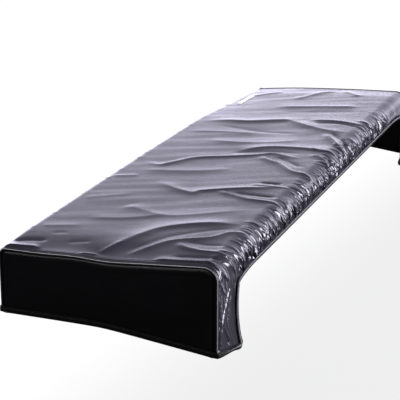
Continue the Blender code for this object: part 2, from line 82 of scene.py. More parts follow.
# Heights and widths in mm. near is the reach of the slope that faces the near end, far of the other
# one, and rounding is how soft the crest is. A negative height is a trough.
foldColumns = ("height", "near", "far", "rounding", "path")
foldRows = [
    (4.2, 2.5, 18, 3.5, ((0.006, 0.408), (0.008, 0.385), (0.011, 0.362), (0.015, 0.335))),
    (-2.8, 7, 10, 1.4, ((0.028, 0.404), (0.044, 0.378), (0.05, 0.34))),
    (-0.7, 5, 9, 1.4, ((0.084, 0.35), (0.092, 0.322))),
    (-0.9, 7, 12, 1.4, ((0.05, 0.305), (0.064, 0.262))),
    (3.8, 19, 42, 1.4, ((0.018, 0.231), (0.046, 0.219), (0.109, 0.193), (0.153, 0.171), (0.185, 0.128),
                        (0.203, 0.08), (0.212, 0.03))),
    (1.4, 4, 5, 1.4, ((0.018, 0.231), (0.046, 0.219), (0.08, 0.205))),
    (-1.2, 12, 12, 1.4, ((0.03, 0.193), (0.075, 0.165), (0.125, 0.13), (0.165, 0.08), (0.192, 0.03))),
    (2.6, 16, 5, 1.4, ((0.016, 0.186), (0.059, 0.156), (0.099, 0.122), (0.127, 0.066), (0.16, 0.042),
                       (0.178, -0.005))),
    (-1.4, 10, 11, 1.4, ((0.1, 0.1), (0.09, 0.06), (0.096, 0.02))),
    (2.4, 8, 12, 1.4, ((0.094, 0.112), (0.073, 0.095), (0.061, 0.059), (0.058, 0.015), (0.05, -0.01))),
    (-2.0, 6, 8, 1.4, ((0.03, 0.1), (0.036, 0.05), (0.038, 0.0))),
    (3.8, 2.5, 16, 3.0, ((0.013, 0.13), (0.011, 0.09), (0.012, 0.04), (0.01, -0.008))),
    (2.0, 3, 5, 1.4, ((0.01, 0.262), (0.012, 0.245), (0.016, 0.228))),
    (1.5, 24, 30, 1.4, ((0.27, 0.29), (0.258, 0.264), (0.23, 0.192), (0.249, 0.131), (0.306, 0.042))),
    (2.6, 17, 34, 1.4, ((0.44, 0.3), (0.405, 0.255), (0.377, 0.199), (0.393, 0.18), (0.421, 0.118),
                        (0.439, 0.067), (0.456, 0.04))),
    (1.0, 4, 4, 1.4, ((0.384, 0.2), (0.398, 0.17), (0.421, 0.118), (0.439, 0.067))),
    (2.6, 11, 6, 1.4, ((0.4, 0.155), (0.384, 0.125), (0.362, 0.084), (0.355, 0.05), (0.351, -0.01))),
    (-2.2, 7, 9, 1.4, ((0.398, 0.12), (0.39, 0.08), (0.384, 0.02))),
    (0.7, 16, 20, 1.4, ((0.292, 0.388), (0.306, 0.365), (0.349, 0.295))),
    (0.7, 12, 18, 1.4, ((0.116, 0.388), (0.121, 0.37), (0.138, 0.31))),
    (2.7, 14, 9, 1.4, ((0.576, 0.39), (0.546, 0.338), (0.563, 0.321), (0.617, 0.283), (0.645, 0.225),
                       (0.67, 0.16), (0.686, 0.137), (0.673, 0.1), (0.652, 0.05))),
    (-1.4, 10, 12, 1.4, ((0.672, 0.23), (0.704, 0.156), (0.698, 0.069))),
    (3.0, 14, 45, 1.4, ((0.693, 0.225), (0.737, 0.156), (0.738, 0.057), (0.728, 0.004))),
    (3.0, 15, 6, 1.4, ((0.668, 0.15), (0.643, 0.138), (0.612, 0.097), (0.564, 0.054), (0.546, 0.011),
                       (0.524, -0.014))),
    (-1.8, 8, 9, 1.4, ((0.664, 0.118), (0.632, 0.082), (0.592, 0.04))),
    (3.4, 22, 45, 1.4, ((0.926, 0.395), (0.944, 0.336), (0.948, 0.279), (0.98, 0.206), (0.961, 0.168),
                        (0.929, 0.127), (0.904, 0.077), (0.896, 0.004))),
    (-1.0, 20, 18, 1.4, ((0.9, 0.34), (0.868, 0.226), (0.862, 0.126))),
    (-2.0, 7, 8, 1.4, ((0.964, 0.135), (0.976, 0.073), (0.943, 0.009))),
    (2.2, 7, 35, 1.4, ((0.986, 0.15), (0.994, 0.08), (0.966, 0.006))),
    (4.2, 14, 8, 1.4, ((0.88, 0.08), (0.826, 0.045), (0.781, 0.017), (0.764, -0.014))),
    (-2.6, 5, 8, 1.4, ((0.892, 0.066), (0.832, 0.026), (0.79, -0.004))),
    (3.4, 12, 4, 1.4, ((0.706, 0.052), (0.68, 0.03), (0.656, 0.006), (0.624, -0.02))),
    (-2.2, 5, 7, 1.4, ((0.712, 0.036), (0.684, 0.008), (0.66, -0.01))),
    (1.6, 4, 6, 1.4, ((0.742, 0.066), (0.73, 0.048), (0.728, 0.004))),
    (-0.8, 30, 30, 1.4, ((1.063, 0.25), (1.079, 0.146), (1.104, 0.05))),
    (2.2, 18, 36, 1.4, ((1.11, 0.28), (1.132, 0.16), (1.152, 0.06))),
    (1.7, 15, 18, 1.4, ((1.2, 0.255), (1.24, 0.228), (1.288, 0.205), (1.326, 0.165))),
    (1.5, 14, 14, 1.4, ((1.24, 0.368), (1.26, 0.345), (1.296, 0.3))),
    (1.7, 14, 12, 1.4, ((1.322, 0.156), (1.29, 0.122), (1.262, 0.096))),
    (1.0, 14, 10, 1.4, ((0.446, 0.4), (0.456, 0.372), (0.464, 0.345))),
    (-2.0, 5, 6, 1.4, ((0.472, 0.092), (0.472, 0.044))),
    (1.6, 8, 6, 1.4, ((0.456, 0.11), (0.45, 0.06), (0.452, 0.02))),
    (1.4, 22, 30, 1.4, ((0.76, 0.33), (0.769, 0.192), (0.806, 0.1))),
    (1.2, 20, 30, 1.4, ((0.5, 0.36), (0.52, 0.26), (0.56, 0.17))),
    (1.0, 16, 22, 1.4, ((0.18, 0.33), (0.196, 0.26), (0.238, 0.19))),
    (1.2, 18, 24, 1.4, ((0.83, 0.39), (0.845, 0.3), (0.85, 0.22))),
    # On the corner of the near end, its tab and the rear round
    (2.0, 1.8, 10, 0.9, ((0.006, 0.032), (0.034, 0.01), (0.06, -0.01), (0.084, -0.034))),
    (1.8, 1.8, 9, 0.9, ((0.005, 0.008), (0.022, -0.012), (0.05, -0.034))),
    (1.2, 1.8, 8, 0.9, ((0.006, -0.022), (0.018, -0.04), (0.034, -0.052))),
    (2.2, 1.8, 11, 0.9, ((0.06, 0.03), (0.086, 0.003), (0.126, -0.028))),
    (1.6, 1.8, 9, 0.9, ((0.03, 0.034), (0.052, 0.016), (0.076, -0.004))),
    (-2.6, 2.0, 3, 0.9, ((0.054, -0.034), (0.038, -0.062), (0.018, -0.092), (0.014, -0.118))),
    (1.1, 2, 9, 0.9, ((0.066, -0.04), (0.056, -0.066), (0.044, -0.098), (0.04, -0.128))),
    (0.7, 2, 6, 0.9, ((0.012, -0.034), (0.01, -0.07), (0.012, -0.125))),
    (1.2, 2, 6, 0.9, ((0.024, -0.1), (0.034, -0.12), (0.056, -0.14))),
    (-2.2, 3, 3, 1.4, ((0.037, -0.137), (0.046, -0.141))),
]
folds = [dict(zip(foldColumns, row)) for row in foldRows]

# Gathers along an elastic hem, in mm but for the places along and across, which are in metres
rearGathers = {
    "side": 1, "seed": 11, "from": 0.100, "to": 1.190, "fade": 0.07, "pitch": 0.0140, "uneven": 0.5,
    "top": (-0.020, 0.014), "lean": (-0.012, 0.020),
    "height": (1.8, 3.4), "near": (1.9, 2.8), "far": (5.0, 9.0), "rounding": 1.0, "crossed": 0.5,
}
rearPleats = {
    "side": 1, "seed": 23, "from": 0.112, "to": 1.160, "fade": 0.07, "pitch": 0.040, "uneven": 0.7,
    "top": (0.000, 0.046), "lean": (0.008, 0.036),
    "height": (1.4, 3.0), "near": (2.2, 3.4), "far": (8.0, 16.0), "rounding": 1.1, "crossed": 0.0,
}
frontGathers = {
    "side": -1, "seed": 5, "from": 0.110, "to": 1.270, "fade": 0.05, "pitch": 0.034, "uneven": 0.35,
    "top": (0.004, 0.030), "lean": (-0.012, 0.012),
    "height": (1.2, 2.4), "near": (6.0, 9.0), "far": (6.0, 10.0), "rounding": 3.0, "crossed": 0.0,
}
# Shares of the lean at the hem, half way up and at the top, and how far the middle strays
gatherLine = {"start": 0.3, "middle": -0.2, "end": -0.7, "bend": 0.004, "weakest": 0.15}
# A short ridge that crosses a gather, from a height on the skirt
crossing = {
    "low": (-0.034, -0.014), "steps": ((-0.006, 0.0), (0.004, 0.014), (0.012, 0.030)),
    "height": (1.2, 2.0), "near": 1.8, "far": 8.0, "rounding": 0.9,
}
hemGrip = 0.0030  # the tape holds the gathers flat over this height


def smooth(value):
    t = np.clip(value, 0, 1)
    return t * t * (3 - 2 * t)


def mix(first, second, share):
    return first + (second - first) * share


# Base surface of the main cloth

coverInside = (0.0, 0.0, -0.1)  # a place inside the cover, which outer faces look away from


def endDistance(along):
    return np.minimum(along, length - along)


def tabWidth(along):
    return np.where(along < halfLength, cover["nearTab"], cover["farTab"])


def tabShare(along):
    # 0 at an end of the cover, 1 from the inner edge of its tabs on
    return np.minimum(endDistance(along) / tabWidth(along), 1)


def rearShare(across):
    share = 1 - across / cover["slopeAcross"]
    return (share + np.hypot(share, cover["slopeSoftness"])) / 2


def swell(along):
    return np.sin(np.pi * along / length)


def farShare(along):
    return smooth((along - cover["farFrom"]) / cover["farReach"])


def level(along, across):
    rear = cover["rearTop"] - cover["farRearDrop"] * farShare(along)
    front = cover["frontTop"] + cover["swellUp"] * swell(along)
    past = (across - cover["farAcross"]) / (width - cover["farAcross"])
    drop = cover["farDrop"] * farShare(along) * np.maximum(past, 0) ** cover["farCurve"]
    return mix(front, rear, rearShare(across)) - drop


def frontWall(along):
    return halfWidth + cover["swellOut"] * swell(along) - cover["farDrawIn"] * farShare(along)


def middleHem(along, side):
    height = cover["frontMiddleHem"]
    if side > 0:
        height = cover["rearMiddleHem"] + cover["rearMiddleHemRise"] * along / length
    pastTab = np.maximum(endDistance(along) - tabWidth(along), 0)
    return height - cover["hemDip"] * np.exp(-pastTab / cover["hemDipReach"])


def tabHem(along, side):
    corner = cover["rearCornerHem"] if side > 0 else cover["frontCornerHem"]
    return corner - cover["tabDrop"] * tabShare(along) ** cover["tabCurve"]


def topRise(along, across):
    share = np.clip(across / width, 0, 1)
    rise = cover["crown"] * np.sin(np.pi * share) * smooth(along / cover["crownReach"])
    return rise + cover["endRise"] * smooth(endDistance(along) / cover["endRiseReach"])


# Rows run from the front low edge over the top to the rear low edge, columns from the near end to the far end
zoneOrder = ("tab", "frontSkirt", "frontRound", "top", "rearRound", "rearSkirt", "tab")
rowCounts = cloth["fineRows"]
rowKnots = np.concatenate([[0], np.cumsum([rowCounts[zone] for zone in zoneOrder])])
frontHemRow, frontSideRow, topStartRow, topEndRow, rearSideRow, rearHemRow, lastRow = map(int, rowKnots[1:])
columnKnots = np.concatenate([[0], np.cumsum(cloth["fineColumns"])])
middleColumn, farColumn, lastColumn = int(columnKnots[2]), int(columnKnots[3]), int(columnKnots[-1])
alongKnots = cloth["along"]


def alongOf(column):
    return np.interp(column, columnKnots, alongKnots)


def sideEdge(along, side):
    # Where a long side's wall is, how round its upper edge is, and that edge's place across
    if side > 0:
        return halfWidth, cover["rearRadius"], 0.0
    return frontWall(along), cover["frontRadius"], width


def sidePoint(along, step, side):
    # step is 0 at the rounded edge, 1 at the raised hem and 2 at the low end of a tab
    wall, radius, edge = sideEdge(along, side)
    top = level(along, edge) - radius
    middle = middleHem(along, side)
    skirt = np.clip(step, 0, 1)
    low = np.clip(step - 1, 0, 1)
    pull = smooth((endDistance(along) - tabWidth(along)) / cover["hemDrawInReach"])
    flare = cover["tabFlare"] * smooth(tabShare(along)) * low ** 2
    z = np.where(step <= 1, mix(top, middle, skirt), mix(middle, tabHem(along, side), low))
    inner = cover["tabWaist"] * np.maximum(np.sin(np.pi * low), 0) ** cover["waistCurve"]
    shift = np.where(along < halfLength, -inner, inner) * tabShare(along)
    y = side * (wall - cover["hemDrawIn"] * pull * skirt + flare)
    depth = top - z
    beyond = radius * (math.pi / 2 - 1) + depth
    return np.stack([halfLength - along - shift, y, z], -1), edge - side * beyond


def roundPoint(along, share, side):
    held = np.clip(along, cover["endStraight"], length - cover["endStraight"])
    wall, radius, edge = sideEdge(along, side)
    angle = math.pi / 2 * share
    across = edge + side * (radius - radius * (math.pi / 2 - angle))
    reach = radius + np.sin(angle) ** 2 * topRise(held, across)
    z = level(along, edge) - radius
    z = z + (level(along, edge + side * radius) - level(along, edge)) * np.sin(angle) ** 2
    y = side * (wall - radius)
    place = np.stack([halfLength - along, y + reach * side * np.cos(angle), z + reach * np.sin(angle)], -1)
    return place, across


# The near seam rides up between two places across
seamWave = {
    "rise": 0.0028, "at": 0.268, "half": 0.045,
    "dip": 0.0006, "dipAt": 0.190, "dipHalf": 0.025, "reach": 0.050,
}


def nearWave(along, across):
    rise = seamWave["rise"] * np.exp(-((across - seamWave["at"]) / seamWave["half"]) ** 2)
    dip = seamWave["dip"] * np.exp(-((across - seamWave["dipAt"]) / seamWave["dipHalf"]) ** 2)
    return (rise - dip) * np.exp(-along / seamWave["reach"])


def topPoint(along, share):
    held = np.clip(along, cover["endStraight"], length - cover["endStraight"])
    y = mix(-frontWall(along) + cover["frontRadius"], halfWidth - cover["rearRadius"], share)
    across = halfWidth - y
    z = level(along, across) + topRise(held, across) + nearWave(along, across)
    return np.stack([halfLength - along, y, z], -1), across


def basePoint(column, row):
    # Place on the unfolded surface, with its along and across, for arrays of columns and rows
    along = alongOf(column)
    place, across = topPoint(along, np.clip((row - topStartRow) / rowCounts["top"], 0, 1))
    frontTurn = np.clip((row - frontSideRow) / rowCounts["frontRound"], 0, 1)
    rearTurn = np.clip((rearSideRow - row) / rowCounts["rearRound"], 0, 1)
    zones = [
        (row < topStartRow, roundPoint(along, frontTurn, -1)),
        (row > topEndRow, roundPoint(along, rearTurn, 1)),
        (row < frontSideRow, sidePoint(along, sideStep(frontSideRow - row, "frontSkirt"), -1)),
        (row > rearSideRow, sidePoint(along, sideStep(row - rearSideRow, "rearSkirt"), 1)),
    ]
    for inside, (zonePlace, zoneAcross) in zones:
        place = np.where(inside[..., None], zonePlace, place)
        across = np.where(inside, zoneAcross, across)
    return place, along, across


def sideStep(rows, skirtRows):
    skirt = rowCounts[skirtRows]
    return np.where(rows <= skirt, rows / skirt, 1 + (rows - skirt) / rowCounts["tab"])


# Folds and gathers, as heights above the base surface

def curveThrough(points, steps=6):
    # A smooth line through the points of a fold
    if len(points) == 2:
        return np.array(points)
    places = [np.array(point) for point in points]
    padded = [2 * places[0] - places[1], *places, 2 * places[-1] - places[-2]]
    line = []
    for before, start, end, after in zip(padded, padded[1:], padded[2:], padded[3:]):
        for t in np.arange(steps) / steps:
            bend = (2 * before - 5 * start + 4 * end - after) * t ** 2
            line.append(0.5 * (2 * start + (end - before) * t + bend
                               + (3 * start - before - 3 * end + after) * t ** 3))
    return np.array(line + [padded[-2]])


# Shares of a slope's reach: how far out it is worked out, how steep it falls and where its foot ends.
# taper is the share of a fold's length over which each of its ends runs out.
slope = {"worked": 5, "fall": 0.75, "foot": 1.6, "turn": 0.5, "taper": (0.22, 0.22)}


def ridge(along, across, fold, taper=slope["taper"]):
    # One pinched ridge or trough: steep beside its line, with a softly rounded crest
    line = curveThrough(fold["path"])
    reach = slope["worked"] * max(fold["near"], fold["far"]) / 1000
    height = np.zeros_like(along)
    low, high = line.min(0) - reach, line.max(0) + reach
    chosen = np.nonzero((along > low[0]) & (along < high[0]) & (across > low[1]) & (across < high[1]))[0]
    if not len(chosen):
        return height
    a, b = along[chosen], across[chosen]
    best = np.full(len(chosen), 1e9)
    side = np.zeros(len(chosen))
    where = np.zeros(len(chosen))
    count = len(line) - 1
    for index in range(count):
        start, run = line[index], line[index + 1] - line[index]
        share = np.clip(((a - start[0]) * run[0] + (b - start[1]) * run[1]) / (run @ run), 0, 1)
        offAlong = a - start[0] - share * run[0]
        offAcross = b - start[1] - share * run[1]
        distance = np.hypot(offAlong, offAcross)
        closer = distance < best
        best = np.where(closer, distance, best)
        side = np.where(closer, offAlong, side)
        where = np.where(closer, (index + share) / count, where)
    blend = smooth(0.5 + side / (best + 1e-6) / slope["turn"])
    reachHere = mix(fold["near"], fold["far"], blend)
    millimetres = best * 1000
    rounding = fold["rounding"]
    pinch = np.exp(-(np.hypot(millimetres, rounding) - rounding) / (slope["fall"] * reachHere))
    soft = np.exp(-(millimetres / (slope["foot"] * reachHere)) ** 2)
    ends = smooth(where / taper[0]) * smooth((1 - where) / taper[1])
    height[chosen] = fold["height"] / 1000 * ends * pinch * soft
    return height


def gatherList(plan):
    # A row of leaning ridges that start at the hem, drawn from a fixed seed
    side = plan["side"]
    draw = np.random.default_rng(plan["seed"])
    made = []
    along = plan["from"]
    while along < plan["to"]:
        strength = mix(gatherLine["weakest"], 1, float(smooth((plan["to"] - along) / plan["fade"])))
        hem = float(sidePoint(np.array(along), np.array(1.0), side)[1])
        top = sideEdge(along, side)[2] + side * draw.uniform(*plan["top"])
        lean = draw.uniform(*plan["lean"])
        bend = draw.uniform(-gatherLine["bend"], gatherLine["bend"])
        start = (along + gatherLine["start"] * lean, hem)
        middle = (along + gatherLine["middle"] * lean + bend, mix(hem, top, 0.5))
        end = (along + gatherLine["end"] * lean, top)
        made.append({"path": (start, middle, end), "height": strength * draw.uniform(*plan["height"]),
                     "near": draw.uniform(*plan["near"]), "far": draw.uniform(*plan["far"]),
                     "rounding": plan["rounding"]})
        if draw.random() < plan["crossed"]:
            low = draw.uniform(*crossing["low"])
            steps = [(along + ahead, low + up) for ahead, up in crossing["steps"]]
            made.append({**crossing, "path": steps, "height": strength * draw.uniform(*crossing["height"])})
        along += plan["pitch"] * (1 + plan["uneven"] * draw.uniform(-1, 1))
    return made


ripples = {"direction": (0.36, -0.93), "long": 0.170, "short": 0.034, "height": 0.0005,
           "fineLong": 2.3, "fineShort": 2.6, "fineHeight": 0.00005}


def rippleHeight(along, across):
    # Faint lines beside the folds, long in the direction of the folds
    c, s = ripples["direction"]
    heights = np.empty(len(along))
    for index, (a, b) in enumerate(zip(along, across)):
        p = (a * c + b * s) / ripples["long"]
        q = (a * -s + b * c) / ripples["short"]
        broad = noise.noise((p, q, 3.1))
        fine = noise.noise((ripples["fineLong"] * p, ripples["fineShort"] * q, 8.4))
        heights[index] = ripples["height"] * broad + ripples["fineHeight"] * fine
    return heights


# Small waves, a ditch and a stitched groove along both end seams
seamPucker = {
    "from": 0.0005, "clear": 0.007, "reach": 0.012, "start": 0.004, "pitch": 0.0085, "height": 0.0003,
    "ditch": 0.0024, "ditchReach": 0.0030, "groove": 0.0005, "grooveAt": 0.0075, "grooveReach": 0.0011,
}
# The taper of a gather at its hem and at its top, as shares of its length
gatherTaper = (0.05, 0.45)


def clothHeight(along, across):
    total = np.zeros_like(along)
    for fold in folds:
        total += ridge(along, across, fold)
    fromEnd = endDistance(along)
    inner = smooth((fromEnd - seamPucker["from"]) / seamPucker["clear"])
    total += rippleHeight(along, across)
    for plan in (rearGathers, rearPleats, frontGathers):
        for fold in gatherList(plan):
            total += ridge(along, across, fold, gatherTaper)
    seam = np.exp(-fromEnd / seamPucker["reach"]) * smooth(fromEnd / seamPucker["start"])
    wave = 2 * np.pi * across / seamPucker["pitch"] + 3 * np.sin(9 * across)
    total += seamPucker["height"] * seam * np.sin(wave)
    total *= inner
    total -= seamPucker["ditch"] * np.exp(-(fromEnd / seamPucker["ditchReach"]) ** 2)
    fromGroove = (fromEnd - seamPucker["grooveAt"]) / seamPucker["grooveReach"]
    return total - seamPucker["groove"] * np.exp(-fromGroove ** 2)


def hemFade(column, row):
    # 0 at every lower edge, which the tape grips, and 1 above it
    skirtDepth = 0.020
    tabHeight = 0.1
    frontOver = (row - frontHemRow) / rowCounts["frontSkirt"] * 2 * skirtDepth
    rearOver = (rearHemRow - row) / rowCounts["rearSkirt"] * skirtDepth
    lowOver = np.minimum(row, lastRow - row) / rowCounts["tab"] * tabHeight
    inTab = (column < middleColumn) | (column > farColumn)
    along = alongOf(column)
    edgeOver = np.minimum(np.abs(along - alongKnots[2]), np.abs(along - alongKnots[3]))
    tabPart = (row < frontHemRow) | (row > rearHemRow)
    over = np.where(tabPart, np.minimum(lowOver, edgeOver), np.minimum(frontOver, rearOver))
    over = np.where(inTab & ~tabPart, 1.0, over)
    nearEdge = np.where(inTab & ~tabPart, np.hypot(edgeOver, np.minimum(frontOver, rearOver)), over)
    return smooth(np.minimum(over, nearEdge) / hemGrip)


def clothPoint(column, row):
    # Place on the finished outer face, its normal, and its along and across
    step = 0.02
    place, along, across = basePoint(column, row)
    right = basePoint(column + step, row)[0] - basePoint(column - step, row)[0]
    rowAbove, rowBelow = np.minimum(row + step, lastRow), np.maximum(row - step, 0)
    up = basePoint(column, rowAbove)[0] - basePoint(column, rowBelow)[0]
    normal = np.cross(right, up)
    normal /= np.maximum(np.linalg.norm(normal, axis=-1, keepdims=True), 1e-12)
    normal *= np.sign((normal * (place - np.array(coverInside))).sum())
    height = clothHeight(along, across) * hemFade(column, row)
    return place + height[..., None] * normal, normal, along, across


# Making meshes

def newPiece(name, bm):
    mesh = bpy.data.meshes.new(name)
    bm.to_mesh(mesh)
    bm.free()
    mesh.shade_smooth()
    piece = bpy.data.objects.new(name, mesh)
    bpy.context.scene.collection.objects.link(piece)
    return piece


def gridMesh(columns, rows, outside=None):
    # A flat grid one unit a cell, without the cells that lie outside
    bm = bmesh.new()
    bmesh.ops.create_grid(bm, x_segments=columns, y_segments=rows, size=0.5, calc_uvs=True)
    for vertex in bm.verts:
        vertex.co.x = round((vertex.co.x + 0.5) * columns)
        vertex.co.y = round((vertex.co.y + 0.5) * rows)
    if outside:
        away = [face for face in bm.faces if outside(*face.calc_center_median()[:2])]
        bmesh.ops.delete(bm, geom=away, context="FACES")
    return bm


def refine(bm, low, high):
    # Twice as many columns between two rows
    chosen = []
    for edge in bm.edges:
        first, second = edge.verts
        if abs(first.co.y - second.co.y) < 1e-4 and low - 1e-4 <= first.co.y <= high + 1e-4:
            chosen.append(edge)
    bmesh.ops.subdivide_edges(bm, edges=chosen, cuts=1, use_grid_fill=True)
    many = [face for face in bm.faces if len(face.verts) > 4]
    bmesh.ops.triangulate(bm, faces=many)


def placeGrid(piece, place, flat):
    # Puts a flat grid in place, and lays its UV map out in metres of flat cloth
    mesh = piece.data
    uv = mesh.uv_layers[0] if mesh.uv_layers else mesh.uv_layers.new(name="flat")
    uv.name = "flat"
    corners = np.empty(len(mesh.loops), dtype=np.int32)
    mesh.loops.foreach_get("vertex_index", corners)
    uv.data.foreach_set("uv", flat[corners].astype(np.float32).ravel())
    mesh.vertices.foreach_set("co", place.astype(np.float32).ravel())
    mesh.update()


def cellsOf(piece):
    co = np.empty(3 * len(piece.data.vertices), dtype=np.float32)
    piece.data.vertices.foreach_get("co", co)
    co = co.reshape(-1, 3).astype(float)
    return co[:, 0], co[:, 1]


def faceOut(piece):
    # Turns an open sheet so that its faces look away from the inside of the cover
    bm = bmesh.new()
    bm.from_mesh(piece.data)
    bm.normal_update()
    inside = Vector(coverInside)
    facing = sum(face.normal.dot(face.calc_center_median() - inside) for face in bm.faces)
    if facing < 0:
        bmesh.ops.reverse_faces(bm, faces=bm.faces[:])
    bm.to_mesh(piece.data)
    bm.free()
    piece.data.shade_smooth()


def thicken(piece, thickness):
    solid = piece.modifiers.new("Cloth thickness", "SOLIDIFY")
    solid.thickness = thickness
    solid.offset = -1
    solid.use_even_offset = False
    depsgraph = bpy.context.evaluated_depsgraph_get()
    mesh = bpy.data.meshes.new_from_object(piece.evaluated_get(depsgraph))
    piece.modifiers.clear()
    piece.data = mesh
    mesh.name = piece.name


def openLoops(bm):
    # The open edges as loops of vertices in order
    rim = [edge for edge in bm.edges if edge.is_boundary]
    left = set(rim)
    loops = []
    for edge in rim:
        if edge not in left:
            continue
        left.remove(edge)
        loop = list(edge.verts)
        while onward := [link for link in loop[-1].link_edges if link in left]:
            left.remove(onward[0])
            loop.append(onward[0].other_vert(loop[-1]))
        loops.append(loop[:-1])
    return loops


def turningOf(loop):
    return sum((first.co.cross(second.co) for first, second in zip(loop, loop[1:] + loop[:1])), Vector())


def closeRim(bm):
    # Joins the outer face's rim to the lining's, each vertex to the nearest one across
    outer, inner = sorted(openLoops(bm), key=len, reverse=True)
    if turningOf(outer).dot(turningOf(inner)) < 0:
        inner.reverse()
    start = min(range(len(outer)), key=lambda index: (outer[index].co - inner[0].co).length)
    outer = outer[start:] + outer[:start + 1]
    inner = inner + inner[:1]
    uv = bm.loops.layers.uv.active
    flat = {vertex: vertex.link_loops[0][uv].uv.copy() for vertex in outer + inner}
    i = j = 0
    while i < len(outer) - 1 or j < len(inner) - 1:
        outerStep = (outer[i + 1].co - inner[j].co).length if i < len(outer) - 1 else 9.0
        innerStep = (inner[j + 1].co - outer[i].co).length if j < len(inner) - 1 else 9.0
        if outerStep < innerStep:
            corners = (outer[i], outer[i + 1], inner[j])
            i += 1
        else:
            corners = (outer[i], inner[j + 1], inner[j])
            j += 1
        for loop in bm.faces.new(corners).loops:
            loop[uv].uv = flat[loop.vert]
    bmesh.ops.recalc_face_normals(bm, faces=bm.faces[:])


def sheetGrid(columnCounts, counts):
    # A flat grid of the main cloth with its cut corners, in the outer face's columns and rows
    own = np.concatenate([[0], np.cumsum(columnCounts)])
    ownRows = np.concatenate([[0], np.cumsum([counts[zone] for zone in zoneOrder])])

    def outside(column, row):
        return own[2] < column < own[3] and not ownRows[1] < row < ownRows[6]

    bm = gridMesh(int(own[-1]), int(ownRows[-1]), outside)
    for vertex in bm.verts:
        vertex.co.x = np.interp(vertex.co.x, own, columnKnots)
        vertex.co.y = np.interp(vertex.co.y, ownRows, rowKnots)
    return bm


# Where the finish has fine creases: from the rear hem up to an uneven line, with soft ends
creased = {"upTo": 0.024, "waves": ((0.008, 41, 0), (0.006, 97, 1)), "softUp": 0.030,
           "from": 0.08, "softFrom": 0.03, "to": 1.20, "softTo": 0.12, "least": 0.2}


def markGathered(piece):
    flat = np.empty(2 * len(piece.data.loops), dtype=np.float32)
    piece.data.uv_layers["flat"].data.foreach_get("uv", flat)
    along, across = flat[0::2], flat[1::2]
    waves = (size * np.sin(rate * along + shift) for size, rate, shift in creased["waves"])
    upTo = creased["upTo"] + sum(waves)
    started = smooth((along - creased["from"]) / creased["softFrom"])
    pull = smooth((upTo - across) / creased["softUp"]) * smooth((creased["to"] - along) / creased["softTo"])
    pull = pull * mix(creased["least"], 1, started)
    gathered = piece.data.attributes.new("gathered", "FLOAT", "CORNER")
    gathered.data.foreach_set("value", pull.astype(np.float32))


def makeMainCloth():
    bm = sheetGrid(cloth["fineColumns"], cloth["fineRows"])
    refine(bm, topEndRow - cloth["fineTopRows"], lastRow)
    piece = newPiece("cover_cloth", bm)
    columns, rows = cellsOf(piece)
    place, normal, along, across = clothPoint(columns, rows)
    placeGrid(piece, place, np.stack([along, across], -1))
    faceOut(piece)
    lining = newPiece("cover_lining", sheetGrid(cloth["coarseColumns"], cloth["coarseRows"]))
    columns, rows = cellsOf(lining)
    outer, normal, along, across = clothPoint(columns, rows)
    base = basePoint(columns, rows)[0]
    place = mix(base, outer, cloth["liningFollows"]) - cloth["thickness"] * normal
    placeGrid(lining, place, np.stack([along, across], -1))
    faceOut(lining)
    lining.data.flip_normals()
    bm = bmesh.new()
    bm.from_mesh(piece.data)
    bm.from_mesh(lining.data)
    bpy.data.objects.remove(lining)
    closeRim(bm)
    longest = max(edge.calc_length() for edge in bm.edges)
    print("longest edge", round(longest, 4), "open edges", sum(edge.is_boundary for edge in bm.edges))
    bm.to_mesh(piece.data)
    bm.free()
    piece.data.shade_smooth()
    markGathered(piece)
    return piece


mainCloth = makeMainCloth()
print("main cloth", len(mainCloth.data.polygons))


# Lines of points

def closing(line):
    return np.concatenate([line, line[:1]])


def runOf(line):
    # The length along a line up to each of its points
    return np.concatenate([[0], np.cumsum(np.linalg.norm(np.diff(line, axis=0), axis=1))])


def between(where, knots, line):
    # Points of a line at places between its knots
    return np.stack([np.interp(where, knots, line[:, axis]) for axis in range(3)], -1)


# End panels

endPanel = {"columns": 132, "rows": 46, "inset": 0.0014, "gap": 0.0044, "bulge": 0.0045, "thickness": 0.0034,
            "seamDip": 0.0020, "seamRidge": 0.0014, "seamRidgeAt": 0.0085, "seamRidgeWidth": 0.0020,
            "seamDipReach": 0.003, "bulgeCurve": 1.2, "bulgeUneven": 0.35, "dent": 0.0012, "smallDent": 0.35,
            "broadDents": (9, 16, 2.0), "smallDents": (30, 55, 7.0), "dentsFrom": 0.03,
            "dentsAbove": 0.12}


def endOutline(end):
    # The main cloth's edge at an end, from the front hem to the rear hem, with outward normals
    column = 0.0 if end > 0 else float(lastColumn)
    rows = np.arange(0, lastRow + 0.25, 0.5)
    place = clothPoint(np.full(len(rows), column), rows)[0]
    run = np.gradient(place, axis=0)
    normal = np.stack([np.zeros(len(rows)), -run[:, 2], run[:, 1]], -1)
    normal /= np.linalg.norm(normal, axis=1, keepdims=True)
    return place, normal, rows


